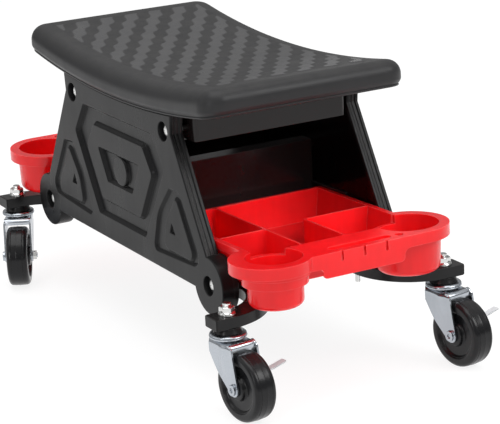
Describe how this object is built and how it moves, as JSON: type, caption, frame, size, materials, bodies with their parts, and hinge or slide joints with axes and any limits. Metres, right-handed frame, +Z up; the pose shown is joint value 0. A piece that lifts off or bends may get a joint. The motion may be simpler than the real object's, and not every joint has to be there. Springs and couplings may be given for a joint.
{
  "type": "creeper seat",
  "caption": "Rolling workshop seat with a saddle top on moulded side panels, sliding tool trays with cup holders at both ends, and swivel casters on bent base rails.",
  "frame": {"origin": "middle of the footprint, on the floor that the wheels stand on", "axes": "+X along the seat towards the front tray, +Y across to the far side panel, +Z up"},
  "size_m": [0.6946, 0.3664, 0.3394],
  "materials": {
    "seat_plastic": "satin moulded, fine checked top",
    "panel_plastic": "satin moulded",
    "gloss_black_plastic": "glossy",
    "black_steel": "gloss black coat",
    "cap_plastic": "glossy",
    "red_plastic": "glossy moulded",
    "zinc_plate": "bright zinc plate",
    "bright_fastener": "bright plated",
    "wheel_rubber": "semi-gloss hard rubber"
  },
  "bodies": {
    "frame": {"seat": "seat_plastic", "seat_box": "gloss_black_plastic", "seat_screws": "bright_fastener", "near_side_panel": "panel_plastic", "far_side_panel": "panel_plastic", "near_panel_liner": "gloss_black_plastic", "far_panel_liner": "gloss_black_plastic", "upper_panel_bolts": "bright_fastener", "upper_panel_nuts": "bright_fastener", "lower_panel_bolts": "bright_fastener", "lower_panel_nuts": "bright_fastener", "base_shelf": "gloss_black_plastic", "front_bulkhead": "gloss_black_plastic", "rear_bulkhead": "gloss_black_plastic", "bulkhead_screws": "bright_fastener", "near_base_rail": "black_steel", "far_base_rail": "black_steel", "rail_end_caps": "cap_plastic", "rail_bolts": "bright_fastener", "rail_nuts": "bright_fastener", "stem_bolts": "bright_fastener", "stem_washers": "bright_fastener", "stem_nuts": "bright_fastener", "swivel_races": "zinc_plate", "swivel_balls": "bright_fastener"},
    "front_tray": {"front_tray": "red_plastic"},
    "rear_tray": {"rear_tray": "red_plastic"},
    "near_front_swivel": {"near_front_fork": "zinc_plate", "near_front_axle_bolt": "bright_fastener", "near_front_axle_nut": "bright_fastener", "near_front_axle_sleeve": "bright_fastener"},
    "near_front_wheel": {"near_front_wheel": "wheel_rubber"},
    "near_front_lock": {"near_front_brake_lever": "zinc_plate"},
    "far_front_swivel": {"far_front_fork": "zinc_plate", "far_front_axle_bolt": "bright_fastener", "far_front_axle_nut": "bright_fastener", "far_front_axle_sleeve": "bright_fastener"},
    "far_front_wheel": {"far_front_wheel": "wheel_rubber"},
    "far_front_lock": {"far_front_brake_lever": "zinc_plate"},
    "near_rear_swivel": {"near_rear_fork": "zinc_plate", "near_rear_axle_bolt": "bright_fastener", "near_rear_axle_nut": "bright_fastener", "near_rear_axle_sleeve": "bright_fastener"},
    "near_rear_wheel": {"near_rear_wheel": "wheel_rubber"},
    "far_rear_swivel": {"far_rear_fork": "zinc_plate", "far_rear_axle_bolt": "bright_fastener", "far_rear_axle_nut": "bright_fastener", "far_rear_axle_sleeve": "bright_fastener"},
    "far_rear_wheel": {"far_rear_wheel": "wheel_rubber"}
  },
  "joints": [
    {"name": "near_front_swivel_turn", "type": "hinge", "parent": "frame", "child": "near_front_swivel", "pos_m": [0.281, -0.1375, 0.085], "axis": [0, 0, 1], "continuous": true},
    {"name": "near_front_wheel_spin", "type": "hinge", "parent": "near_front_swivel", "child": "near_front_wheel", "pos_m": [0.31101, -0.13413, 0.038], "axis": [-0.1115, 0.9938, 0], "continuous": true},
    {"name": "near_front_lock_press", "type": "hinge", "parent": "near_front_swivel", "child": "near_front_lock", "pos_m": [0.31101, -0.13413, 0.038], "axis": [-0.1115, 0.9938, 0], "range_deg": [0, 40]},
    {"name": "far_front_swivel_turn", "type": "hinge", "parent": "frame", "child": "far_front_swivel", "pos_m": [0.281, 0.1375, 0.085], "axis": [0, 0, 1], "continuous": true},
    {"name": "far_front_wheel_spin", "type": "hinge", "parent": "far_front_swivel", "child": "far_front_wheel", "pos_m": [0.31095, 0.14139, 0.038], "axis": [-0.1288, 0.9917, 0], "continuous": true},
    {"name": "far_front_lock_press", "type": "hinge", "parent": "far_front_swivel", "child": "far_front_lock", "pos_m": [0.31095, 0.14139, 0.038], "axis": [-0.1288, 0.9917, 0], "range_deg": [0, 40]},
    {"name": "near_rear_swivel_turn", "type": "hinge", "parent": "frame", "child": "near_rear_swivel", "pos_m": [-0.281, -0.1375, 0.085], "axis": [0, 0, 1], "continuous": true},
    {"name": "near_rear_wheel_spin", "type": "hinge", "parent": "near_rear_swivel", "child": "near_rear_wheel", "pos_m": [-0.25438, -0.15177, 0.038], "axis": [0.4726, 0.8813, 0], "continuous": true},
    {"name": "far_rear_swivel_turn", "type": "hinge", "parent": "frame", "child": "far_rear_swivel", "pos_m": [-0.281, 0.1375, 0.085], "axis": [0, 0, 1], "continuous": true},
    {"name": "far_rear_wheel_spin", "type": "hinge", "parent": "far_rear_swivel", "child": "far_rear_wheel", "pos_m": [-0.30767, 0.15168, 0.038], "axis": [-0.4695, -0.8829, 0], "continuous": true},
    {"name": "front_tray_slide", "type": "slide", "parent": "frame", "child": "front_tray", "axis": [0.9994, 0, 0.0349], "range_m": [0, 0.13]},
    {"name": "rear_tray_slide", "type": "slide", "parent": "frame", "child": "rear_tray", "axis": [-0.9994, 0, 0.0349], "range_m": [0, 0.13]}
  ]
}
